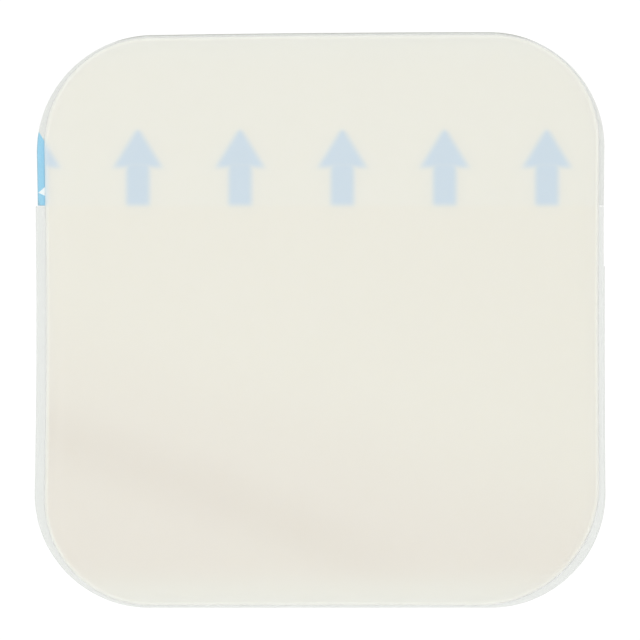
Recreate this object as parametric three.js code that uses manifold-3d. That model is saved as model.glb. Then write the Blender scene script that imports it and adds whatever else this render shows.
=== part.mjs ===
// A square hydrogel wound dressing with round corners, lying flat on its peel-off release liner.
// Millimetres. +X runs to the right, +Y up the dressing, the way the arrows point, and +Z up from the
// surface that the liner lies on. The origin is on that surface, under the middle of the dressing.
import * as THREE from "three";
import { mergeVertices } from "three/addons/utils/BufferGeometryUtils.js";
import Module from "manifold-3d";

const wasm = await Module();
wasm.setup();

// The whole dressing as it is cut from the web
const overallWidth = 99.6;
const overallHeight = 100.4;
const cornerRadius = 20;
const leftWaist = 0.3; // how far the left side draws in at its middle
const rightWaist = 0.15; // the same for the right side
const topLean = 0.5; // how far the top edge has fallen where the upper left corner begins

// Backing film
const filmThickness = 0.05;

// Gel sheet, a little smaller than the film and not quite centred under it
const gelThickness = 2;
const gelShoulder = 4; // width of the soft edge, where the gel thins out
const gelShoulderPower = 2.5; // 2 is an elliptical edge, and more is a squarer one
const gelMarginLeft = 1.7;
const gelMarginRight = 0.9;
const gelMarginEnds = 0.4;
const gelCornerTighter = 1.5; // three of the gel's corners are this much tighter than the film's
const gelCornerRounder = 1; // and the lower right one is this much rounder

// Release liner, in two pieces that meet at a cut across the dressing
const linerThickness = 0.12;
const printedStripDepth = 30.3; // from the top edge to the cut
const cutWidth = 0.1;
const printedStripInset = 0.4; // the printed strip stops short of the film on the left
const plainLinerStepOut = 0.15; // the plain piece stands out past the film on the right
const plainLinerStepDrop = 40.8; // from the top edge to where it steps out

// Arrows printed on the liner's outer side
const arrowPitch = 17.8;
const firstArrowInset = 0.3; // from the left edge to the middle of the first arrow
const arrowHeight = 13.6;
const arrowHeadHeight = 7;
const arrowHeadWidth = 8.6;
const arrowShaftWidth = 4.1;
const inkThickness = 0.03;

// Fineness of the curves
const cornerSteps = 14;
const sideSteps = 8;
const shoulderSteps = 8;

// Edges of each layer, worked out from the sizes above
const left = -overallWidth / 2;
const right = overallWidth / 2;
const bottom = -overallHeight / 2;
const top = overallHeight / 2;
const filmEdges = { left, right: right - plainLinerStepOut, bottom, top };
const gelEdges = {
  left: filmEdges.left + gelMarginLeft,
  right: filmEdges.right - gelMarginRight,
  bottom: filmEdges.bottom + gelMarginEnds,
  top: filmEdges.top - gelMarginEnds,
};
const printedStripEdges = { ...filmEdges, left: left + printedStripInset };
const steppedLinerEdges = { ...filmEdges, right };
const cutY = top - printedStripDepth;
const stepY = top - plainLinerStepDrop;

// Corner radii, anticlockwise from the lower left corner
const filmRadii = [cornerRadius, cornerRadius, cornerRadius, cornerRadius];
const gelRadii = [
  cornerRadius - gelCornerTighter,
  cornerRadius + gelCornerRounder,
  cornerRadius - gelCornerTighter,
  cornerRadius - gelCornerTighter,
];

// The cut sheet isn't quite square: both sides draw in along a parabola between the corners, and the top edge
// falls along half a parabola from its right end to its left end.
function asCut(x, y) {
  const across = (x - left) / overallWidth;
  const up = (y - bottom) / overallHeight;
  const straightHalfHeight = overallHeight / 2 - cornerRadius;
  const straightWidth = overallWidth - 2 * cornerRadius;
  const drawIn = Math.max(0, 1 - (y / straightHalfHeight) ** 2);
  const waist = leftWaist * (1 - across) - rightWaist * across;
  const fall = Math.max(0, (right - cornerRadius - x) / straightWidth);
  return new THREE.Vector2(x + waist * drawIn, y - topLean * fall ** 2 * up);
}

// A rounded square between four edges, grown outwards by a distance, as anticlockwise points.
function outline(edges, radii, grow = 0) {
  const corners = [
    { x: edges.left, y: edges.bottom, inX: 1, inY: 1 },
    { x: edges.right, y: edges.bottom, inX: -1, inY: 1 },
    { x: edges.right, y: edges.top, inX: -1, inY: -1 },
    { x: edges.left, y: edges.top, inX: 1, inY: -1 },
  ];
  const points = [];
  corners.forEach((corner, k) => {
    const radius = radii[k];
    const centreX = corner.x + corner.inX * radius;
    const centreY = corner.y + corner.inY * radius;
    const startAngle = Math.PI + (k * Math.PI) / 2;
    for (let i = 0; i <= cornerSteps; i++) {
      const angle = startAngle + (i / cornerSteps) * (Math.PI / 2);
      const reach = radius + grow;
      points.push([centreX + reach * Math.cos(angle), centreY + reach * Math.sin(angle)]);
    }
  });
  const perCorner = cornerSteps + 1;
  const whole = [];
  for (let k = 0; k < corners.length; k++) {
    const arc = points.slice(k * perCorner, (k + 1) * perCorner);
    const next = points[((k + 1) % corners.length) * perCorner];
    const end = arc[perCorner - 1];
    whole.push(...arc);
    for (let i = 1; i < sideSteps; i++) {
      const t = i / sideSteps;
      whole.push([end[0] + (next[0] - end[0]) * t, end[1] + (next[1] - end[1]) * t]);
    }
  }
  return whole.map(([x, y]) => asCut(x, y));
}

// A flat plate with the given outline between two heights.
function plate(points, low, high) {
  const geometry = new THREE.ExtrudeGeometry(new THREE.Shape(points), {
    depth: high - low,
    bevelEnabled: false,
  });
  return geometry.translate(0, 0, low);
}

// Rings of equally many points, lowest first, joined into one closed solid with flat ends.
function stackOfRings(rings) {
  const count = rings[0].points.length;
  const positions = rings.flatMap((ring) => ring.points.flatMap((p) => [p.x, p.y, ring.z]));
  const faces = [];
  for (let r = 0; r < rings.length - 1; r++) {
    for (let i = 0; i < count; i++) {
      const a = r * count + i;
      const b = r * count + ((i + 1) % count);
      faces.push(a, b, b + count, a, b + count, a + count);
    }
  }
  const last = (rings.length - 1) * count;
  for (const [a, b, c] of THREE.ShapeUtils.triangulateShape(rings[0].points, [])) {
    faces.push(a, c, b);
  }
  for (const [a, b, c] of THREE.ShapeUtils.triangulateShape(rings[rings.length - 1].points, [])) {
    faces.push(last + a, last + b, last + c);
  }
  return new THREE.BufferGeometry()
    .setAttribute("position", new THREE.Float32BufferAttribute(positions, 3))
    .setIndex(faces);
}

// The soft-edged pad of gel, or that pad with a skin around it: a flat top whose edge falls as a superellipse.
function softPad(skin) {
  const width = gelShoulder + skin;
  const height = gelThickness + skin;
  const rings = [];
  for (let i = 0; i <= shoulderSteps; i++) {
    const angle = (i / shoulderSteps) * (Math.PI / 2);
    const inset = width * (1 - Math.cos(angle) ** (2 / gelShoulderPower));
    const rise = height * Math.sin(angle) ** (2 / gelShoulderPower);
    rings.push({ points: outline(gelEdges, gelRadii, skin - inset), z: linerThickness + rise });
  }
  return stackOfRings(rings);
}

// An arrow that points along +Y, with its tail on the cut.
function arrowOutline(centreX) {
  const tail = cutY + cutWidth / 2;
  const shoulder = tail + arrowHeight - arrowHeadHeight;
  const halfShaft = arrowShaftWidth / 2;
  const halfHead = arrowHeadWidth / 2;
  const corners = [
    [halfShaft, tail],
    [halfShaft, shoulder],
    [halfHead, shoulder],
    [0, tail + arrowHeight],
    [-halfHead, shoulder],
    [-halfShaft, shoulder],
    [-halfShaft, tail],
  ];
  return corners.map(([x, y]) => new THREE.Vector2(centreX + x, y));
}

// A closed geometry as a solid that can be joined and cut.
function toSolid(geometry) {
  const bare = geometry.clone();
  bare.deleteAttribute("normal");
  bare.deleteAttribute("uv");
  const merged = mergeVertices(bare);
  return new wasm.Manifold(
    new wasm.Mesh({
      numProp: 3,
      vertProperties: merged.attributes.position.array,
      triVerts: new Uint32Array(merged.index.array),
    }),
  );
}

// The solid as a geometry that can be drawn.
function toGeometry(solid) {
  const { vertProperties, triVerts } = solid.getMesh();
  const geometry = new THREE.BufferGeometry()
    .setAttribute("position", new THREE.BufferAttribute(vertProperties, 3))
    .setIndex(new THREE.BufferAttribute(triVerts, 1));
  geometry.computeVertexNormals();
  return geometry;
}

// A block over the liner's whole width, for what lies between two places up the dressing.
function bandAcross(lowY, highY) {
  const geometry = new THREE.BoxGeometry(2 * overallWidth, highY - lowY, 2 * linerThickness);
  return toSolid(geometry.translate(0, (lowY + highY) / 2, 0));
}

function makeHydrogelSheet() {
  return toSolid(softPad(0));
}

// The film lies on the gel's whole upper side and goes on over the liner as a flat margin.
function makeBackingFilm(gel) {
  const margin = plate(outline(filmEdges, filmRadii), linerThickness, linerThickness + filmThickness);
  return toSolid(margin).add(toSolid(softPad(filmThickness))).subtract(gel);
}

function makePrintedStrip() {
  const whole = toSolid(plate(outline(printedStripEdges, filmRadii), 0, linerThickness));
  return whole.intersect(bandAcross(cutY + cutWidth / 2, 2 * top));
}

// The plain piece stands out past the film on the right below the step, and is level with it above the step.
function makePlainLiner() {
  const whole = toSolid(plate(outline(steppedLinerEdges, filmRadii), 0, linerThickness));
  const underFilm = toSolid(plate(outline(filmEdges, filmRadii), 0, linerThickness));
  const pastFilm = bandAcross(stepY, 2 * top).subtract(underFilm);
  return whole.intersect(bandAcross(2 * bottom, cutY - cutWidth / 2)).subtract(pastFilm);
}

// Every arrow whose middle is on the strip, cut off where the strip ends.
function makeArrows(strip) {
  const arrows = [];
  for (let x = left + firstArrowInset; x < filmEdges.right; x += arrowPitch) {
    arrows.push(toSolid(plate(arrowOutline(x), 0, inkThickness)).intersect(strip));
  }
  return arrows;
}

const clearFilm = { color: 0xeceeeb, roughness: 0.35, metalness: 0, transparent: true, opacity: 0.25 };
const milkyGel = { color: 0xedebe0, roughness: 0.5, metalness: 0, transparent: true, opacity: 0.7 };
const clearLiner = { color: 0xeef0ee, roughness: 0.3, metalness: 0, transparent: true, opacity: 0.45 };
const blueInk = { color: 0x8fcbee, roughness: 0.5, metalness: 0 };

const dressing = new THREE.Group();

function addPiece(name, solid, look) {
  const mesh = new THREE.Mesh(toGeometry(solid), new THREE.MeshStandardMaterial(look));
  mesh.name = name;
  dressing.add(mesh);
}

const gel = makeHydrogelSheet();
const strip = makePrintedStrip();
const arrows = makeArrows(strip);
const stripAroundInk = arrows.reduce((rest, arrow) => rest.subtract(arrow), strip);

addPiece("backing_film", makeBackingFilm(gel), clearFilm);
addPiece("hydrogel_sheet", gel, milkyGel);
addPiece("printed_release_liner", stripAroundInk, clearLiner);
addPiece("plain_release_liner", makePlainLiner(), clearLiner);
arrows.forEach((arrow, k) => addPiece(`arrow_print_${k + 1}`, arrow, blueInk));

export default dressing;
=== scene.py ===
"""A square hydrogel wound dressing that lies on its cut release liner, seen from straight above on a white floor.

It is built in the layers of the real one, from the floor up: blue arrows printed on the liner's underside, the
clear liner in two pieces that meet at a cut, the milky gel sheet with its soft edge, and the clear backing film,
which covers the gel and goes on as a flat margin. Lengths are in metres and every mesh is in the frame of the
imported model: +X to the right, +Y up the dressing, +Z up from the floor.
"""

import logging
import math
from dataclasses import dataclass, field
from enum import Enum

import bpy
import numpy as np
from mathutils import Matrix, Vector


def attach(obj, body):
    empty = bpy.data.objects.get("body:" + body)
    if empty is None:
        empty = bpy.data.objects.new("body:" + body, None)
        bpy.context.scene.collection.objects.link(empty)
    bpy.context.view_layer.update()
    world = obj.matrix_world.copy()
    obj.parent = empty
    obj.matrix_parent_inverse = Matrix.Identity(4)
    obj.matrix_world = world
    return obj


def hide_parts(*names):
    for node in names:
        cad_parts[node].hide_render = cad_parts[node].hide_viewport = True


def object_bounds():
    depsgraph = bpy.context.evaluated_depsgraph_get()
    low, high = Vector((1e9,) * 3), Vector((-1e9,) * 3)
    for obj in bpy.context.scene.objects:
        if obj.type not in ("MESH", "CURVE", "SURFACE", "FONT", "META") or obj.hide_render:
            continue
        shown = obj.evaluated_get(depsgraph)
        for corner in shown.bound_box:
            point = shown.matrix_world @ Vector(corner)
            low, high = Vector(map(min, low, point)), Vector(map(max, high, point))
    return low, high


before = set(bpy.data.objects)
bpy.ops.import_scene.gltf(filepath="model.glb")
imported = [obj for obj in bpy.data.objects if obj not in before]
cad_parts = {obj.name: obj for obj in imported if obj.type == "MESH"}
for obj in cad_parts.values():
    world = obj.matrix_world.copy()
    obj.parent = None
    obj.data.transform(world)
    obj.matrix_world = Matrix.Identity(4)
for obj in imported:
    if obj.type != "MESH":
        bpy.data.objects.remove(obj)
CAD_LOW, CAD_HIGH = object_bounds()

MM = 0.001
BODY = "root"
PICTURE_PIXELS = 640
PIXELS_PER_MM = 5.73
LOG = logging.getLogger("dressing")

# Names of the attributes that the meshes carry and the finishes read
RIM_DISTANCE = "rim_distance"
GEL_INSET = "gel_inset"
FAR_FROM_RIM = 10 * MM


class LinerHalf(Enum):
    """The two pieces of the release liner, by the names of their nodes."""

    PRINTED = "printed_release_liner"
    PLAIN = "plain_release_liner"


# Colour and nodes


def linear(hex_colour: str) -> tuple[float, float, float, float]:
    """Turns an sRGB colour into the linear one that shaders take.

    Args:
        hex_colour: six hex digits, two each for red, green and blue.

    Returns:
        Red, green, blue and an alpha of 1, where each channel c is ((c + 0.055) / 1.055) to the power of 2.4,
        or c / 12.92 where it is very dark.
    """
    channels = np.array([int(hex_colour[i : i + 2], 16) for i in (0, 2, 4)]) / 255
    curved = ((channels + 0.055) / 1.055) ** 2.4
    red, green, blue = np.where(channels <= 0.04045, channels / 12.92, curved)
    return float(red), float(green), float(blue), 1.0


def add_node(
    tree: bpy.types.NodeTree, kind: str, settings: dict | None = None, inputs: dict | None = None
) -> bpy.types.Node:
    """Adds one node to a tree.

    Args:
        tree: the tree that gets the node.
        kind: the node's type, such as ShaderNodeMath.
        settings: its properties by name.
        inputs: its sockets by name or number, each with a value, or with another node's output to link.

    Returns:
        The new node.
    """
    node = tree.nodes.new(kind)
    for name, value in (settings or {}).items():
        setattr(node, name, value)
    for socket, value in (inputs or {}).items():
        if isinstance(value, bpy.types.NodeSocket):
            tree.links.new(value, node.inputs[socket])
        else:
            node.inputs[socket].default_value = value
    return node


def new_material(name: str) -> tuple[bpy.types.Material, bpy.types.NodeTree]:
    """Makes an empty node material.

    Args:
        name: the material's name.

    Returns:
        The material and its cleared tree.
    """
    material = bpy.data.materials.new(name)
    material.use_nodes = True
    material.node_tree.nodes.clear()
    return material, material.node_tree


def calculate(tree: bpy.types.NodeTree, operation: str, *values: float | bpy.types.NodeSocket) -> bpy.types.NodeSocket:
    """Adds a node that works out one value from others."""
    return add_node(tree, "ShaderNodeMath", {"operation": operation}, dict(enumerate(values))).outputs[0]


def ramp(
    tree: bpy.types.NodeTree,
    value: bpy.types.NodeSocket,
    start: float,
    end: float,
    low: float | bpy.types.NodeSocket = 0.0,
    high: float | bpy.types.NodeSocket = 1.0,
    soft: bool = True,
) -> bpy.types.NodeSocket:
    """Adds a node that goes from one result to another while a value runs through a range.

    Args:
        tree: the tree that gets the node.
        value: the value that is read.
        start: where on it the change starts, which may be above the end.
        end: where the change is done.
        low: the result at the start and before it.
        high: the result at the end and after it.
        soft: whether the change is a smooth step. It is a straight line if not.

    Returns:
        The socket with the result.
    """
    ends = {"From Min": start, "From Max": end, "To Min": low, "To Max": high}
    way = {"interpolation_type": "SMOOTHSTEP" if soft else "LINEAR"}
    return add_node(tree, "ShaderNodeMapRange", way, {0: value, **ends}).outputs[0]


def blend(
    tree: bpy.types.NodeTree,
    share: bpy.types.NodeSocket,
    first: tuple[float, float, float, float] | bpy.types.NodeSocket,
    second: tuple[float, float, float, float] | bpy.types.NodeSocket,
) -> bpy.types.NodeSocket:
    """Adds a node that blends two colours.

    Args:
        tree: the tree that gets the node.
        share: how much of the second colour there is, from 0 to 1.
        first: a colour.
        second: the other colour.

    Returns:
        The socket with the blended colour.
    """
    return add_node(tree, "ShaderNodeMix", {"data_type": "RGBA"}, {0: share, 6: first, 7: second}).outputs[2]


def object_place(tree: bpy.types.NodeTree) -> tuple[bpy.types.NodeSocket, bpy.types.Node]:
    """Adds the nodes that give each point's place in the frame.

    Args:
        tree: the tree that gets the nodes.

    Returns:
        The socket with the place, and the node whose outputs X, Y and Z are its coordinates.
    """
    place = add_node(tree, "ShaderNodeTexCoord").outputs["Object"]
    return place, add_node(tree, "ShaderNodeSeparateXYZ", None, {0: place})


def surface_of(tree: bpy.types.NodeTree, inputs: dict) -> None:
    """Ends a material's tree in a principled shader with the given inputs."""
    shader = add_node(tree, "ShaderNodeBsdfPrincipled", None, inputs)
    add_node(tree, "ShaderNodeOutputMaterial", None, {"Surface": shader.outputs[0]})


# Meshes


def closed_surface(name: str, rings: np.ndarray, attributes: dict[str, np.ndarray]) -> bpy.types.Object:
    """Makes an object from rings of points, shut at both ends by a fan to the middle of the end ring.

    Point j of ring i joins points j and j + 1 of ring i + 1, so the surface is a grid of two parameters, one round
    the dressing and one along the profile. The rings run anticlockwise seen from above, and go from the middle of
    the underside out to the rim and back to the middle of the top, so that every face points outwards.

    Args:
        name: the object's name.
        rings: points as an array of rings by points by three.
        attributes: a value for each point, by the attribute's name, as arrays of rings by points.

    Returns:
        The new object, linked to the scene.
    """
    rows, count = rings.shape[:2]
    here = np.arange(count)
    beyond = np.roll(here, -1)
    start = count * np.arange(rows - 1)[:, None]
    quads = np.stack([start + here, start + beyond, start + count + beyond, start + count + here], axis=-1)
    low_pole, high_pole = np.full(count, rows * count), np.full(count, rows * count + 1)
    last = count * (rows - 1)
    low_fan = np.stack([low_pole, beyond, here], axis=-1)
    high_fan = np.stack([last + here, last + beyond, high_pole], axis=-1)
    poles = np.stack([rings[0].mean(axis=0), rings[-1].mean(axis=0)])
    points = np.concatenate([rings.reshape(-1, 3), poles])
    mesh = bpy.data.meshes.new(name)
    faces = quads.reshape(-1, 4).tolist() + low_fan.tolist() + high_fan.tolist()
    mesh.from_pydata(points.tolist(), [], faces)
    for label, values in attributes.items():
        ends = [values[0].mean(), values[-1].mean()]
        flat = np.concatenate([values.ravel(), ends]).astype(np.float32)
        mesh.attributes.new(label, "FLOAT", "POINT").data.foreach_set("value", flat)
    mesh.shade_smooth()
    mesh.set_sharp_from_angle(angle=math.radians(50))
    piece = bpy.data.objects.new(name, mesh)
    bpy.context.scene.collection.objects.link(piece)
    return piece


def with_height(ring: np.ndarray, height: float | np.ndarray) -> np.ndarray:
    """Gives flat points a height.

    Args:
        ring: points as an array whose last axis is x and y.
        height: one height, or one that fits the points' shape.

    Returns:
        The points with x, y and z.
    """
    heights = np.broadcast_to(np.asarray(height, float), ring.shape[:-1])
    return np.concatenate([ring, heights[..., None]], axis=-1)


def towards_middle(ring: np.ndarray, rows: int, crowding: float = 1.0) -> np.ndarray:
    """Fills a ring: each point moves in steps along the straight line to the ring's middle.

    Args:
        ring: points as an array of points by two or three.
        rows: how many steps the way to the middle has.
        crowding: the power that the equal steps are raised to. Above 1 they crowd at the ring.

    Returns:
        The rings between the given one and the middle, outermost first.
    """
    share = np.linspace(0, 1, rows + 1)[1:-1, None, None] ** crowding
    return ring + (ring.mean(axis=0) - ring) * share


def distance_to_line(points: np.ndarray, contour: np.ndarray) -> np.ndarray:
    """How far each point is from a closed line: the least of its distances to the line's straight pieces.

    Args:
        points: an array whose last axis is x and y.
        contour: the line's corners as an array of points by two.

    Returns:
        The distances, in the shape of the points without their last axis.
    """
    along = np.roll(contour, -1, axis=0) - contour
    offset = points.reshape(-1, 1, 2) - contour
    share = np.clip((offset * along).sum(axis=-1) / (along**2).sum(axis=-1), 0, 1)
    nearest = np.linalg.norm(offset - share[..., None] * along, axis=-1).min(axis=1)
    return nearest.reshape(points.shape[:-1])


# The shape that the dressing is cut to


@dataclass(frozen=True)
class Edges:
    """The four straight edges of one layer."""

    left: float
    right: float
    bottom: float
    top: float


@dataclass(frozen=True)
class CutShape:
    """The rounded square that every layer follows, and how the die and the soft web have put it out of true."""

    width: float = CAD_HIGH.x - CAD_LOW.x
    height: float = CAD_HIGH.y - CAD_LOW.y
    corner_radius: float = 20 * MM
    left_waist: float = 0.3 * MM
    right_waist: float = 0.15 * MM
    top_lean: float = 0.5 * MM
    corner_steps: int = 40
    side_steps: int = 30

    @property
    def edges(self) -> Edges:
        """The outermost edges, centred on the origin."""
        return Edges(-self.width / 2, self.width / 2, -self.height / 2, self.height / 2)

    def as_cut(self, points: np.ndarray) -> np.ndarray:
        """Bends points of the true rounded square as the sheet was cut.

        Both sides draw in along a parabola between the corners, and the top falls along half a parabola from its
        right end to its left end, by less and less further down the sheet.

        Args:
            points: an array whose last axis is x and y.

        Returns:
            The bent points in an array of the same shape.
        """
        x, y = points[..., 0], points[..., 1]
        across = x / self.width + 0.5
        up = y / self.height + 0.5
        straight_half_height = self.height / 2 - self.corner_radius
        draw_in = np.maximum(0, 1 - (y / straight_half_height) ** 2)
        waist = self.left_waist * (1 - across) - self.right_waist * across
        fall = np.maximum(0, (self.width / 2 - self.corner_radius - x) / (self.width - 2 * self.corner_radius))
        return np.stack([x + waist * draw_in, y - self.top_lean * fall**2 * up], axis=-1)

    def outline(self, edges: Edges, radii: list[float], grow: float | np.ndarray = 0.0) -> np.ndarray:
        """Rings of points round a layer, anticlockwise from its lower left corner.

        A corner is a quarter of a circle about its own centre, of its radius plus the growth, and a side is the
        straight line from one corner's end to the next one's start. The whole is then bent as it was cut.

        Args:
            edges: the layer's straight edges.
            radii: its corner radii, anticlockwise from the lower left one.
            grow: how far each ring lies outside the layer's own edge, one number for each ring.

        Returns:
            The rings as an array of rings by points by two.
        """
        out = np.atleast_1d(grow)[:, None, None]
        radius = np.array(radii)[None, :, None]
        inward_x = np.array([1, -1, -1, 1])[None, :, None]
        inward_y = np.array([1, 1, -1, -1])[None, :, None]
        centre_x = np.array([edges.left, edges.right, edges.right, edges.left])[None, :, None] + inward_x * radius
        centre_y = np.array([edges.bottom, edges.bottom, edges.top, edges.top])[None, :, None] + inward_y * radius
        turn = np.linspace(0, 1, self.corner_steps + 1)[None, None, :]
        angle = math.pi + (np.arange(4)[None, :, None] + turn) * math.pi / 2
        reach = radius + out
        arcs = np.stack([centre_x + reach * np.cos(angle), centre_y + reach * np.sin(angle)], axis=-1)
        starts, ends = arcs[:, :, -1:], np.roll(arcs, -1, axis=1)[:, :, :1]
        share = np.linspace(0, 1, self.side_steps + 1)[1:-1, None]
        sides = starts + (ends - starts) * share
        return self.as_cut(np.concatenate([arcs, sides], axis=2).reshape(len(out), -1, 2))


# Finishes


@dataclass(frozen=True)
class PrintedArrows:
    """The row of arrows as a pattern, in the frame's own X and Y, counted from the dressing's left edge."""

    left: float
    tail: float
    first_inset: float = 0.3 * MM
    pitch: float = 17.8 * MM
    height: float = 13.6 * MM
    head_height: float = 7 * MM
    head_width: float = 8.6 * MM
    shaft_width: float = 4.1 * MM
    blunt_above: float = 0.3
    blunt_below: float = 1.3

    def nodes(
        self, tree: bpy.types.NodeTree, x: bpy.types.NodeSocket, y: bpy.types.NodeSocket, blur: float
    ) -> bpy.types.NodeSocket:
        """Adds the nodes that draw the arrows with soft edges.

        The way to the nearest arrow's middle line is a triangle wave of x. A point is in the head where that is
        less than the head's half width at its height, and in the shaft where it is less than half the shaft. Each
        edge is a smooth step from nothing to one, twice the blur wide. The tip is blunted as a blur would, from a
        share of the blur above it to another share below it.

        Args:
            tree: the material's tree.
            x: the socket with the place across the dressing.
            y: the socket with the place up the dressing.
            blur: how far an edge spreads to each side.

        Returns:
            The socket that is 1 in an arrow and 0 outside.
        """
        half_head, half_shaft = self.head_width / 2, self.shaft_width / 2
        slope = half_head / self.head_height
        tip, shoulder = self.tail + self.height, self.tail + self.height - self.head_height
        from_first = calculate(tree, "SUBTRACT", x, self.left + self.first_inset)
        off_middle = calculate(tree, "PINGPONG", from_first, self.pitch / 2)

        below_tip = calculate(tree, "SUBTRACT", tip, y)
        head_edge = calculate(tree, "MULTIPLY", below_tip, slope)
        head_gap = calculate(tree, "SUBTRACT", head_edge, off_middle)
        reach = blur / math.cos(math.atan(slope))
        in_head = ramp(tree, head_gap, -reach, reach)
        above_shoulder = ramp(tree, y, shoulder - blur, shoulder + blur)
        under_tip = ramp(tree, y, tip + self.blunt_above * blur, tip - self.blunt_below * blur)
        head = calculate(tree, "MULTIPLY", in_head, above_shoulder)
        blunt_head = calculate(tree, "MULTIPLY", head, under_tip)

        in_shaft = ramp(tree, off_middle, half_shaft + blur, half_shaft - blur)
        above_tail = ramp(tree, y, self.tail - blur, self.tail + blur)
        below_neck = ramp(tree, y, shoulder + 2 * blur, shoulder)
        shaft_up = calculate(tree, "MULTIPLY", in_shaft, above_tail)
        shaft = calculate(tree, "MULTIPLY", shaft_up, below_neck)
        return calculate(tree, "MAXIMUM", blunt_head, shaft)


@dataclass(frozen=True)
class HollowShade:
    """Painted shade of a long shallow hollow in the soft top of the gel, low on the left, which slants down to the
    right. It is a darker band in the colour only.

    Its middle line is where x times the slant plus y is its place. Along x it is whole up to one place and has
    run out at the next.
    """

    tone: str = "E3DED4"
    share: float = 0.42
    slant: float = 0.39
    place: float = -37.8 * MM
    half_width: float = 8.5 * MM
    whole_to: float = -6 * MM
    gone_at: float = 26 * MM

    def nodes(self, tree: bpy.types.NodeTree, axes: bpy.types.Node) -> bpy.types.NodeSocket:
        """Adds the nodes that paint the hollow's shade.

        Args:
            tree: the material's tree.
            axes: the node that gives X, Y and Z.

        Returns:
            The socket with the share that the hollow's tone has.
        """
        slanting = calculate(tree, "MULTIPLY_ADD", axes.outputs["X"], self.slant, axes.outputs["Y"])
        off_line = calculate(tree, "SUBTRACT", slanting, self.place)
        distance = calculate(tree, "ABSOLUTE", off_line)
        inside = ramp(tree, distance, self.half_width, 0.0, 0.0, self.share)
        before_end = ramp(tree, axes.outputs["X"], self.gone_at, self.whole_to)
        return calculate(tree, "MULTIPLY", inside, before_end)


@dataclass(frozen=True)
class MilkyHydrogel:
    """Cast water-based gel: opaline and ivory, with a soft wet sheen.

    It scatters light, so that what lies 2 mm under it shows only as a pale blurred shape. It looks whiter at its
    Its soft edge is painted nearly white, as painted light, and it looks greyer towards the web's ends. Its tone
    drifts a little across the sheet, and painted shade darkens it towards the lower left and along a shallow hollow.
    """

    arrows: PrintedArrows
    web_top: float
    web_bottom: float
    hollow_shade: HollowShade = HollowShade()
    ivory: str = "ECEAE0"
    # Painted shade: a warmer, darker tone towards the lower left, and where it starts and is full
    warm_shade_tone: str = "E9E5DC"
    shade_lean: float = 0.28
    shade_start: float = -5 * MM
    shade_full: float = -38 * MM
    cloud_size: float = 30 * MM
    cloud_detail: float = 1.5
    cloud_low: float = 0.7
    cloud_high: float = 1.3
    strip_tone: str = "ECEBE2"
    strip_start: float = -0.3 * MM
    strip_full: float = 0.1 * MM
    thin_tone: str = "EBEBE3"
    top_fade: float = 8 * MM
    bottom_fade: float = 8 * MM
    # Painted light at the soft edge: its tone, that of the arrows there, and how far in it fades
    lit_edge_tone: str = "FFFFF1"
    lit_edge_arrow_tone: str = "D8E9F4"
    lit_edge_fade: float = 0.95 * MM
    arrow_tone: str = "D1DEE7"
    spread: float = 0.85 * MM
    far_spread: float = 2.6 * MM
    far_share: float = 0.22
    milkiness: float = 0.8
    milk_radius: float = 1.6 * MM
    roughness: float = 0.42
    ior: float = 1.37

    def material(self) -> bpy.types.Material:
        """Builds the gel's material.

        Returns:
            The material, which reads Object coordinates and the mesh's own distance from the gel's edge.
        """
        material, tree = new_material("milky_hydrogel")
        place, axes = object_place(tree)
        x, y = axes.outputs["X"], axes.outputs["Y"]

        # Painted shade: towards the lower left the gel is painted a warmer, darker tone, where less light falls, and a
        # slow cloudy drift in tone varies how much
        noise = {"Vector": place, "Scale": 1 / self.cloud_size, "Detail": self.cloud_detail}
        clouds = add_node(tree, "ShaderNodeTexNoise", None, noise).outputs[0]
        lean = calculate(tree, "MULTIPLY_ADD", x, self.shade_lean, y)
        shaded_lower_half = ramp(tree, lean, self.shade_start, self.shade_full)
        cloud_share = ramp(tree, clouds, 0.0, 1.0, self.cloud_low, self.cloud_high, soft=False)
        warm_shade_share = calculate(tree, "MULTIPLY", shaded_lower_half, cloud_share)
        colour = blend(tree, warm_shade_share, linear(self.ivory), linear(self.warm_shade_tone))
        # Painted shade along a shallow hollow, low on the left
        colour = blend(tree, self.hollow_shade.nodes(tree, axes), colour, linear(self.hollow_shade.tone))

        # The printed strip under the gel is a shade cooler than the plain liner below the cut
        cut = self.arrows.tail
        over_strip = ramp(tree, y, cut + self.strip_start, cut + self.strip_full)
        colour = blend(tree, over_strip, colour, linear(self.strip_tone))

        # Thinner gel towards the web's ends is greyer
        near_top = ramp(tree, y, self.web_top - self.top_fade, self.web_top)
        near_bottom = ramp(tree, y, self.web_bottom + self.bottom_fade, self.web_bottom)
        near_end = calculate(tree, "MAXIMUM", near_top, near_bottom)
        colour = blend(tree, near_end, colour, linear(self.thin_tone))

        # Painted light: the soft edge, which lets light through from the side and from below, is painted nearly white,
        # which also lifts the shade on its steep side
        inset = add_node(tree, "ShaderNodeAttribute", {"attribute_name": GEL_INSET}).outputs["Fac"]
        lit_edge_share = ramp(tree, inset, self.lit_edge_fade, 0.0)
        colour = blend(tree, lit_edge_share, colour, linear(self.lit_edge_tone))

        # The arrows, spread by the gel: a soft core and a faint halo further out, clearer where the gel is thin and
        # painted lighter with the soft edge's painted light
        core = self.arrows.nodes(tree, x, y, self.spread)
        halo = self.arrows.nodes(tree, x, y, self.far_spread)
        faint = calculate(tree, "MULTIPLY", halo, self.far_share)
        shown = calculate(tree, "MAXIMUM", core, faint)
        arrow_colour = blend(tree, lit_edge_share, linear(self.arrow_tone), linear(self.lit_edge_arrow_tone))
        inputs = {
            "Base Color": blend(tree, shown, colour, arrow_colour),
            "Roughness": self.roughness,
            "IOR": self.ior,
            "Subsurface Weight": self.milkiness,
            "Subsurface Radius": (1.0, 1.0, 1.0),
            "Subsurface Scale": self.milk_radius,
        }
        surface_of(tree, inputs)
        return material


class Axis(Enum):
    """The two directions across the dressing, by the names of their coordinates."""

    ACROSS = "X"
    UP = "Y"


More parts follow.
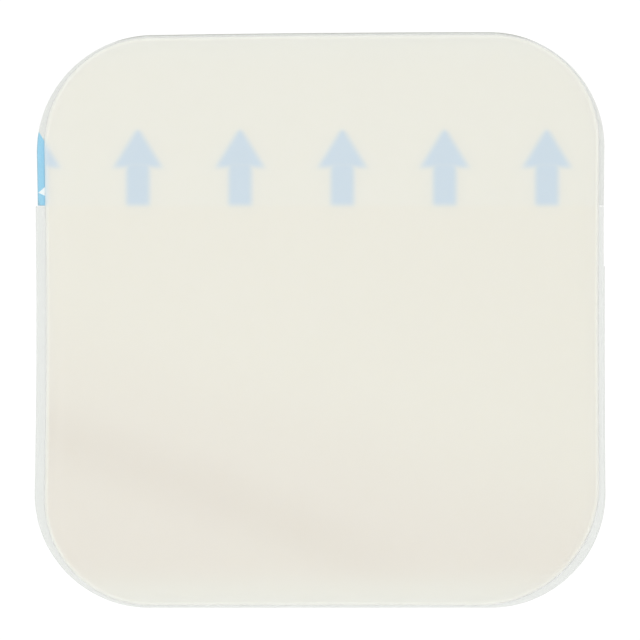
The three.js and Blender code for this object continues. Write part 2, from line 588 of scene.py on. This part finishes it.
@dataclass(frozen=True)
class Zone:
    """A stretch of a clear sheet that looks otherwise, from a place where the change starts to one where it is full.

    What it changes is the share that the sheet hides, in its cut edge's line or in its haze.
    """

    axis: Axis
    start: float
    full: float
    share: float

    def change(
        self, tree: bpy.types.NodeTree, axes: bpy.types.Node, share: float | bpy.types.NodeSocket
    ) -> bpy.types.NodeSocket:
        """Adds the node that changes a share in the zone, in a straight line along the axis."""
        return ramp(tree, axes.outputs[self.axis.value], self.start, self.full, share, self.share, soft=False)


@dataclass(frozen=True)
class ClearSheet:
    """Thin clear polymer, cast or drawn: a faint haze flat on, with a cut edge that catches the light as a line.

    Each of its two skins hides a small share of what is behind it. The line changes along the outline, the haze
    may differ in one zone, and it goes where ink wets the sheet.
    """

    name: str
    tone: str
    skin_share: float
    rim_tone: str
    rim_share: float
    rim_width: float
    roughness: float
    ior: float
    rim_zones: tuple[Zone, ...] = ()
    haze_zone: Zone | None = None
    ink: PrintedArrows | None = None
    inked_share: float = 0.012
    ink_blur: float = 0.05 * MM

    def material(self) -> bpy.types.Material:
        """Builds the sheet's material.

        Returns:
            The material, which reads Object coordinates and the mesh's own distance from the cut edge.
        """
        material, tree = new_material(self.name)
        _, axes = object_place(tree)
        distance = add_node(tree, "ShaderNodeAttribute", {"attribute_name": RIM_DISTANCE}).outputs["Fac"]
        at_rim = ramp(tree, distance, self.rim_width, 0.0)
        line: float | bpy.types.NodeSocket = self.rim_share
        for zone in self.rim_zones:
            line = zone.change(tree, axes, line)
        inputs = {
            "Base Color": blend(tree, at_rim, linear(self.tone), linear(self.rim_tone)),
            "Alpha": ramp(tree, at_rim, 0.0, 1.0, self.haze(tree, axes), line, soft=False),
            "Roughness": self.roughness,
            "IOR": self.ior,
        }
        surface_of(tree, inputs)
        return material

    def haze(self, tree: bpy.types.NodeTree, axes: bpy.types.Node) -> float | bpy.types.NodeSocket:
        """The share that a skin hides away from the rim.

        Args:
            tree: the material's tree.
            axes: the node that gives X, Y and Z.

        Returns:
            One value, or a socket where the haze has a zone of its own or the sheet is printed.
        """
        if self.haze_zone is not None:
            return self.haze_zone.change(tree, axes, self.skin_share)
        if self.ink is None:
            return self.skin_share
        inked = self.ink.nodes(tree, axes.outputs["X"], axes.outputs["Y"], self.ink_blur)
        return ramp(tree, inked, 0.0, 1.0, self.skin_share, self.inked_share, soft=False)


@dataclass(frozen=True)
class FlexoInk:
    """Water-based blue ink, printed by a soft plate: flat and even, with one small near-white wedge in it.

    The wedge is coloured nearly white.
    """

    blue: str = "94D3F0"
    pale: str = "A2D9F3"
    wedge_white: str = "FBFFFF"
    mottle_size: float = 0.8 * MM
    mottle_detail: float = 2.0
    wedge_tip: tuple[float, float] = (-49.12 * MM, 22.2 * MM)
    wedge_length: float = 1.6 * MM
    wedge_opening: float = 0.7
    wedge_slope: float = 0.24
    roughness: float = 0.5
    ior: float = 1.5

    def material(self) -> bpy.types.Material:
        """Builds the ink's material.

        The near-white wedge opens from its tip along +X, and ends after its length.

        Returns:
            The material, which reads Object coordinates.
        """
        material, tree = new_material("flexo_ink")
        place, axes = object_place(tree)
        noise = {"Vector": place, "Scale": 1 / self.mottle_size, "Detail": self.mottle_detail}
        mottle = add_node(tree, "ShaderNodeTexNoise", None, noise).outputs[0]
        colour = blend(tree, mottle, linear(self.blue), linear(self.pale))

        tip_x, tip_y = self.wedge_tip
        along = calculate(tree, "SUBTRACT", axes.outputs["X"], tip_x)
        middle = calculate(tree, "MULTIPLY_ADD", along, self.wedge_slope, tip_y)
        off_middle = calculate(tree, "ABSOLUTE", calculate(tree, "SUBTRACT", axes.outputs["Y"], middle))
        half_width = calculate(tree, "MULTIPLY", along, self.wedge_opening)
        inside = calculate(tree, "LESS_THAN", off_middle, half_width)
        before_end = calculate(tree, "LESS_THAN", along, self.wedge_length)
        white_wedge = calculate(tree, "MULTIPLY", inside, before_end)
        inked = blend(tree, white_wedge, colour, linear(self.wedge_white))
        surface_of(tree, {"Base Color": inked, "Roughness": self.roughness, "IOR": self.ior})
        return material


# Pieces


@dataclass
class HydrogelSheet:
    """The gel: a flat sheet a little smaller than the film, whose edge falls away as a superellipse."""

    shape: CutShape
    floor: float = 0.12 * MM
    thickness: float = 2 * MM
    shoulder: float = 4 * MM
    power: float = 2.5
    margin_left: float = 1.7 * MM
    margin_right: float = 0.9 * MM
    margin_ends: float = 0.4 * MM
    corner_tighter: float = 1.5 * MM
    corner_rounder: float = 1 * MM
    step_out: float = 0.15 * MM
    swell: float = 0.02 * MM
    swell_length: float = 34 * MM
    swell_stretch: float = 0.8
    swell_phase: tuple[float, float] = (0.7, -0.4)
    shoulder_rows: int = 22
    shoulder_crowding: float = 1.3
    flat_rows: int = 24
    node: str = "hydrogel_sheet"

    @property
    def edges(self) -> Edges:
        """The gel's straight edges."""
        blank = self.shape.edges
        return Edges(
            blank.left + self.margin_left,
            blank.right - self.step_out - self.margin_right,
            blank.bottom + self.margin_ends,
            blank.top - self.margin_ends,
        )

    @property
    def radii(self) -> list[float]:
        """The gel's corner radii, anticlockwise from the lower left one."""
        tight = self.shape.corner_radius - self.corner_tighter
        return [tight, self.shape.corner_radius + self.corner_rounder, tight, tight]

    def dip(self, ring: np.ndarray) -> np.ndarray:
        """How far the soft top lies under its highest level, as the product of two slow waves in x and y."""
        phase = 2 * math.pi * ring / self.swell_length * (1, self.swell_stretch) + self.swell_phase
        wave = np.sin(phase[..., 0]) * np.cos(phase[..., 1])
        return self.swell * (1 - wave) / 2

    def shoulder_rings(self, skin: float, lowest: float) -> tuple[np.ndarray, np.ndarray]:
        """The soft edge, or a skin over it, from its foot to the flat top.

        At an angle a from 0 to 90 degrees the ring lies inwards by the width times 1 - cos(a) ^ (2 / power), and
        above the liner by the height times sin(a) ^ (2 / power).

        Args:
            skin: how far outside the gel the surface lies.
            lowest: the height above the liner at which the first ring lies.

        Returns:
            The rings as an array of rings by points by three, and how far each one lies inside the gel's outline.
        """
        width, height = self.shoulder + skin, self.thickness + skin
        first = math.asin(min(1.0, lowest / height) ** (self.power / 2))
        angle = first + (math.pi / 2 - first) * np.linspace(0, 1, self.shoulder_rows) ** self.shoulder_crowding
        inset = width * (1 - np.maximum(0, np.cos(angle)) ** (2 / self.power)) - skin
        rise = height * np.sin(angle) ** (2 / self.power)
        flat = self.shape.outline(self.edges, self.radii, -inset)
        height_here = self.floor + rise[:, None] - self.dip(flat) * (rise / height)[:, None]
        return with_height(flat, height_here), inset

    def flat_rings(self, edge_ring: np.ndarray, height: float) -> np.ndarray:
        """The flat part inside a ring, outermost first, with the gentle swell of the soft top."""
        rings = towards_middle(edge_ring[:, :2], self.flat_rows)
        return with_height(rings, height - self.dip(rings))

    def build(self) -> bpy.types.Object:
        """Builds the gel sheet.

        Returns:
            The gel as one closed object.
        """
        soft_edge, inset = self.shoulder_rings(0.0, 0.0)
        crown = self.flat_rings(soft_edge[-1], self.floor + self.thickness)
        underside = with_height(towards_middle(soft_edge[0, :, :2], self.flat_rows)[::-1], self.floor)
        rings = np.concatenate([underside, soft_edge, crown])
        count = rings.shape[1]
        row_inset = np.concatenate(
            [np.full(len(underside), self.shoulder), inset, np.full(len(crown), self.shoulder)]
        )
        return closed_surface("gel_sheet", rings, {GEL_INSET: np.repeat(row_inset[:, None], count, axis=1)})

    def dress(self, piece: bpy.types.Object, arrows: PrintedArrows) -> None:
        """Gives the gel its finish and its place in the model."""
        piece.data.materials.append(MilkyHydrogel(arrows, self.edges.top, self.edges.bottom).material())
        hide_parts(self.node)
        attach(piece, BODY)


@dataclass
class BackingFilm:
    """The film: it hugs the gel's top and soft edge, tents a little at its foot, and ends as a flat margin."""

    gel: HydrogelSheet
    thickness: float = 0.05 * MM
    air: float = 0.008 * MM
    margin_air: float = 0.002 * MM
    tent_height: float = 0.22 * MM
    tent_reach: float = 0.16 * MM
    margin_rows: int = 12
    node: str = "backing_film"

    @property
    def edges(self) -> Edges:
        """The film's straight edges."""
        blank = self.gel.shape.edges
        return Edges(blank.left, blank.right - self.gel.step_out, blank.bottom, blank.top)

    def skin_rings(self, skin: float, level: float) -> tuple[np.ndarray, np.ndarray]:
        """One side of the film, from its cut edge to the middle of the top.

        In the margin each point moves in a straight line from the cut edge to the gel's foot, and the height is
        the margin's level plus a tent that fades as exp(-distance from the foot / reach). From there on it
        follows the gel.

        Args:
            skin: how far outside the gel this side lies.
            level: its height in the flat margin.

        Returns:
            The rings as an array of rings by points by three, and each point's distance from the cut edge.
        """
        foot_height = level - self.gel.floor + self.tent_height
        shoulder, _ = self.gel.shoulder_rings(skin, foot_height)
        foot = shoulder[0, :, :2]
        radii = [self.gel.shape.corner_radius] * 4
        cut_edge = self.gel.shape.outline(self.edges, radii)[0]
        share = np.linspace(0, 1, self.margin_rows + 1)[:-1, None, None]
        margin = cut_edge + (foot - cut_edge) * share
        width = np.linalg.norm(foot - cut_edge, axis=-1)
        to_foot = width * (1 - share[..., 0])
        tent = self.tent_height * np.exp(-to_foot / self.tent_reach)
        crown = self.gel.flat_rings(shoulder[-1], self.gel.floor + self.gel.thickness + skin)
        rings = np.concatenate([with_height(margin, level + tent), shoulder, crown])
        far = np.full((len(shoulder) + len(crown), len(foot)), FAR_FROM_RIM)
        return rings, np.concatenate([width * share[..., 0], far])

    def build(self) -> bpy.types.Object:
        """Builds the film.

        Returns:
            The film as one closed shell.
        """
        liner_top = self.gel.floor
        under, under_distance = self.skin_rings(self.air, liner_top + self.margin_air)
        over, over_distance = self.skin_rings(self.thickness, liner_top + self.thickness)
        rings = np.concatenate([under[::-1], over])
        distance = np.concatenate([under_distance[::-1], over_distance])
        return closed_surface("clear_backing_film", rings, {RIM_DISTANCE: distance})

    def dress(self, piece: bpy.types.Object) -> None:
        """Gives the film its finish and its place in the model."""
        # Cast polyurethane film: clear and satin, so it lies on the gel almost unseen and its cut edge is a fine line,
        # which is fainter over the printed strip and gone along the top
        faint_over_strip = Zone(Axis.UP, 19.9 * MM, 20.2 * MM, 0.1)
        gone_at_top = Zone(Axis.UP, 48.2 * MM, 49.4 * MM, 0.0)
        polyurethane = ClearSheet(
            name="cast_polyurethane_film",
            tone="B4BAB2",
            skin_share=0.02,
            rim_tone="F4F8F4",
            rim_share=0.27,
            rim_width=0.2 * MM,
            roughness=0.35,
            ior=1.5,
            rim_zones=(faint_over_strip, gone_at_top),
        )
        piece.data.materials.append(polyurethane.material())
        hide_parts(self.node)
        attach(piece, BODY)


@dataclass
class ReleaseLiner:
    """One piece of the liner: a flat sheet that ends at the cut across the dressing."""

    film: BackingFilm
    half: LinerHalf
    strip_depth: float = 30.3 * MM
    cut_width: float = 0.1 * MM
    strip_inset: float = 0.4 * MM
    step_drop: float = 40.8 * MM
    ink_room: float = 0.035 * MM
    cut_glow: float = 0.5 * MM
    face_rows: int = 26
    crowding: float = 2.6
    cut_steps: int = 80

    @property
    def cut(self) -> float:
        """How far up the dressing the cut lies."""
        return self.film.gel.shape.edges.top - self.strip_depth

    def contour(self) -> np.ndarray:
        """The piece's outline: the part of the layer's own outline on its side of the cut, closed along the cut.

        Returns:
            Anticlockwise points as an array of points by two.
        """
        shape = self.film.gel.shape
        radii = [shape.corner_radius] * 4
        narrow = self.film.edges
        if self.half is LinerHalf.PRINTED:
            edges = Edges(narrow.left + self.strip_inset, narrow.right, narrow.bottom, narrow.top)
            line, side = self.cut + self.cut_width / 2, 1
            whole = shape.outline(edges, radii)[0]
        else:
            wide = Edges(narrow.left, shape.edges.right, narrow.bottom, narrow.top)
            line, side = self.cut - self.cut_width / 2, -1
            whole = self.stepped(shape.outline(wide, radii)[0], shape.outline(narrow, radii)[0])
        kept = side * (whole[:, 1] - line) > 0
        first = int(np.flatnonzero(kept & ~np.roll(kept, 1))[0])
        run = np.roll(whole, -first, axis=0)[: int(kept.sum())]
        before, after = whole[first - 1], np.roll(whole, -first, axis=0)[int(kept.sum())]
        enter = before + (run[0] - before) * (line - before[1]) / (run[0][1] - before[1])
        leave = run[-1] + (after - run[-1]) * (line - run[-1][1]) / (after[1] - run[-1][1])
        share = np.linspace(0, 1, self.cut_steps + 1)[1:-1, None]
        return np.concatenate([[enter], run, [leave], leave + (enter - leave) * share])

    def stepped(self, wide: np.ndarray, narrow: np.ndarray) -> np.ndarray:
        """Joins two outlines into one that steps out on the right, below the step's place.

        Args:
            wide: the outline that the piece has below the step.
            narrow: the outline that it has above the step, point for point like the other.

        Returns:
            The joined outline, with the two corners of the step.
        """
        step = self.film.gel.shape.edges.top - self.step_drop
        above = (narrow[:, 1] > step) & (narrow[:, 0] > 0)
        joined = np.where(above[:, None], narrow, wide)
        turn = int(np.flatnonzero(above & ~np.roll(above, 1))[0])
        corners = [[wide[turn, 0], step], [narrow[turn, 0], step + self.cut_width]]
        return np.insert(joined, turn, corners, axis=0)

    def build(self) -> bpy.types.Object:
        """Builds the piece of liner.

        Returns:
            The piece as one closed flat sheet.
        """
        low = self.ink_room if self.half is LinerHalf.PRINTED else 0.0
        high = self.film.gel.floor
        contour = self.contour()
        face = np.concatenate([contour[None], towards_middle(contour, self.face_rows, self.crowding)])
        distance = distance_to_line(face, contour)
        rings = np.concatenate([with_height(face[::-1], low), with_height(face, high)])
        rim = np.concatenate([distance[::-1], distance])
        return closed_surface(f"{self.half.name.lower()}_liner", rings, {RIM_DISTANCE: rim})

    def dress(self, piece: bpy.types.Object, arrows: PrintedArrows) -> None:
        """Gives the piece the liner's finish and its place in the model."""
        # Siliconised polyester: drawn, then left with a slightly matt outer side, so it is hazier than the film
        printed = self.half is LinerHalf.PRINTED
        step = self.film.gel.shape.edges.top - self.step_drop
        cut_line = Zone(Axis.UP, self.cut + (self.cut_glow if printed else -self.cut_glow), self.cut, 0.16)
        # Painted shadow: the printed piece's cut edge is a darker line along the top, where the edge lies in shade
        top_edge_shadow = Zone(Axis.UP, 48.2 * MM, 49.4 * MM, 0.62)
        dark_right = Zone(Axis.ACROSS, 45 * MM, 46 * MM, 0.42)
        faint_above_step = Zone(Axis.UP, step, step + self.cut_width, 0.12)
        # Darker towards the left edge of the plain piece: its skin hides more of the white floor there
        darker_left = Zone(Axis.ACROSS, -38 * MM, -47 * MM, 0.133)
        polyester = ClearSheet(
            name=f"siliconised_polyester_{self.half.name.lower()}",
            tone="8A9680" if printed else "8A9A83",
            skin_share=0.155 if printed else 0.12,
            rim_tone="9FA297" if printed else "A6ADA2",
            rim_share=0.15 if printed else 0.12,
            rim_width=0.2 * MM if printed else 0.09 * MM,
            roughness=0.3,
            ior=1.6,
            rim_zones=(top_edge_shadow, cut_line) if printed else (dark_right, faint_above_step, cut_line),
            haze_zone=None if printed else darker_left,
            ink=arrows if printed else None,
        )
        piece.data.materials.append(polyester.material())
        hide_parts(self.half.value)
        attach(piece, BODY)


@dataclass
class ArrowPrints:
    """The blue arrows on the liner's underside, whose solids are right as they are and get their ink here."""

    node_start: str = "arrow_print_"
    names: list[str] = field(default_factory=list)

    def dress(self) -> None:
        """Gives every arrow the ink."""
        ink = FlexoInk().material()
        self.names = sorted(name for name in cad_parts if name.startswith(self.node_start))
        for name in self.names:
            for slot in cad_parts[name].material_slots:
                slot.material = ink


# Surroundings


@dataclass
class Studio:
    """The white floor, the even light of a white room and one soft lamp, and the camera over the dressing."""

    floor_size: float = 4.0
    floor_drop: float = 0.02 * MM
    floor_tone: str = "FAFAFA"
    shade_share: float = 0.24
    floor_glow: float = 0.8
    room_light: float = 0.92
    lamp_place: tuple[float, float, float] = (-0.06, 0.0, 0.6)
    lamp_size: float = 0.4
    lamp_power: float = 0.56
    clear_walls: int = 24
    camera_height: float = 0.8
    view_width: float = PICTURE_PIXELS / PIXELS_PER_MM * MM
    sensor_width: float = 36.0

    def add_floor(self) -> None:
        """Lays the floor: white with a share that takes shadows where it is looked at, and plain paint elsewhere."""
        half = self.floor_size / 2
        corners = [(-half, -half), (half, -half), (half, half), (-half, half)]
        mesh = bpy.data.meshes.new("floor")
        mesh.from_pydata([(x, y, CAD_LOW.z - self.floor_drop) for x, y in corners], [], [(0, 1, 2, 3)])
        material, tree = new_material("floor")
        path = add_node(tree, "ShaderNodeLightPath")
        seen = calculate(tree, "MAXIMUM", path.outputs["Is Camera Ray"], path.outputs["Is Glossy Ray"])
        looked_at = calculate(tree, "MAXIMUM", seen, path.outputs["Is Transmission Ray"])
        glow = add_node(tree, "ShaderNodeEmission", None, {"Strength": self.floor_glow})
        shade = add_node(tree, "ShaderNodeBsdfDiffuse", None, {"Color": (*[self.shade_share] * 3, 1.0)})
        face = add_node(tree, "ShaderNodeAddShader", None, {0: shade.outputs[0], 1: glow.outputs[0]})
        paint = add_node(tree, "ShaderNodeBsdfDiffuse", None, {"Color": linear(self.floor_tone)})
        both = add_node(tree, "ShaderNodeMixShader", None, {0: looked_at, 1: paint.outputs[0], 2: face.outputs[0]})
        add_node(tree, "ShaderNodeOutputMaterial", None, {"Surface": both.outputs[0]})
        floor = bpy.data.objects.new("floor", mesh)
        floor.data.materials.append(material)
        bpy.context.scene.collection.objects.link(floor)

    def add_light(self) -> None:
        """Lights the scene: a white room all round, seen as pure white, and a soft lamp above, a little to the left."""
        world = bpy.data.worlds.new("white_room")
        bpy.context.scene.world = world
        world.use_nodes = True
        tree = world.node_tree
        tree.nodes.clear()
        path = add_node(tree, "ShaderNodeLightPath")
        strength = ramp(tree, path.outputs["Is Camera Ray"], 0.0, 1.0, self.room_light, 1.0, soft=False)
        sky = add_node(tree, "ShaderNodeBackground", None, {"Color": (1, 1, 1, 1), "Strength": strength})
        add_node(tree, "ShaderNodeOutputWorld", None, {"Surface": sky.outputs[0]})
        light = bpy.data.lights.new("soft_lamp", "AREA")
        light.energy = self.lamp_power
        light.size = self.lamp_size
        lamp = bpy.data.objects.new("soft_lamp", light)
        lamp.location = self.lamp_place
        lamp.rotation_mode = "QUATERNION"
        lamp.rotation_quaternion = lamp.location.to_track_quat("Z", "Y")
        bpy.context.scene.collection.objects.link(lamp)

    def add_camera(self) -> None:
        """Hangs the camera straight over the dressing, with +Y up in the picture."""
        data = bpy.data.cameras.new("camera")
        data.sensor_width = self.sensor_width
        data.lens = self.sensor_width * self.camera_height / self.view_width
        camera = bpy.data.objects.new("camera", data)
        camera.location = (0, 0, self.camera_height)
        bpy.context.scene.collection.objects.link(camera)
        bpy.context.scene.camera = camera

    def set_rendering(self) -> None:
        """Shows colours as written, and lets a slanting ray cross all the skins of film and liner in its way."""
        bpy.context.scene.view_settings.view_transform = "Standard"
        bpy.context.scene.cycles.transparent_max_bounces = self.clear_walls


def main() -> None:
    """Builds the dressing from the liner up, then the room round it, and reports each piece."""
    logging.basicConfig(level=logging.INFO, format="%(name)s: %(message)s")
    studio = Studio()
    studio.set_rendering()
    studio.add_camera()

    gel = HydrogelSheet(CutShape())
    film = BackingFilm(gel)

    liners = {half: ReleaseLiner(film, half) for half in LinerHalf}
    printed = liners[LinerHalf.PRINTED]
    arrows = PrintedArrows(left=gel.shape.edges.left, tail=printed.cut + printed.cut_width / 2)
    for liner in liners.values():
        piece = liner.build()
        liner.dress(piece, arrows)
        LOG.info("%s: %d faces", piece.name, len(piece.data.polygons))

    prints = ArrowPrints()
    prints.dress()
    LOG.info("%d arrows in blue ink", len(prints.names))

    gel_piece = gel.build()
    gel.dress(gel_piece, arrows)
    LOG.info("%s: %d faces", gel_piece.name, len(gel_piece.data.polygons))

    film_piece = film.build()
    film.dress(film_piece)
    LOG.info("%s: %d faces", film_piece.name, len(film_piece.data.polygons))

    studio.add_floor()
    studio.add_light()


if __name__ == "__main__":
    main()
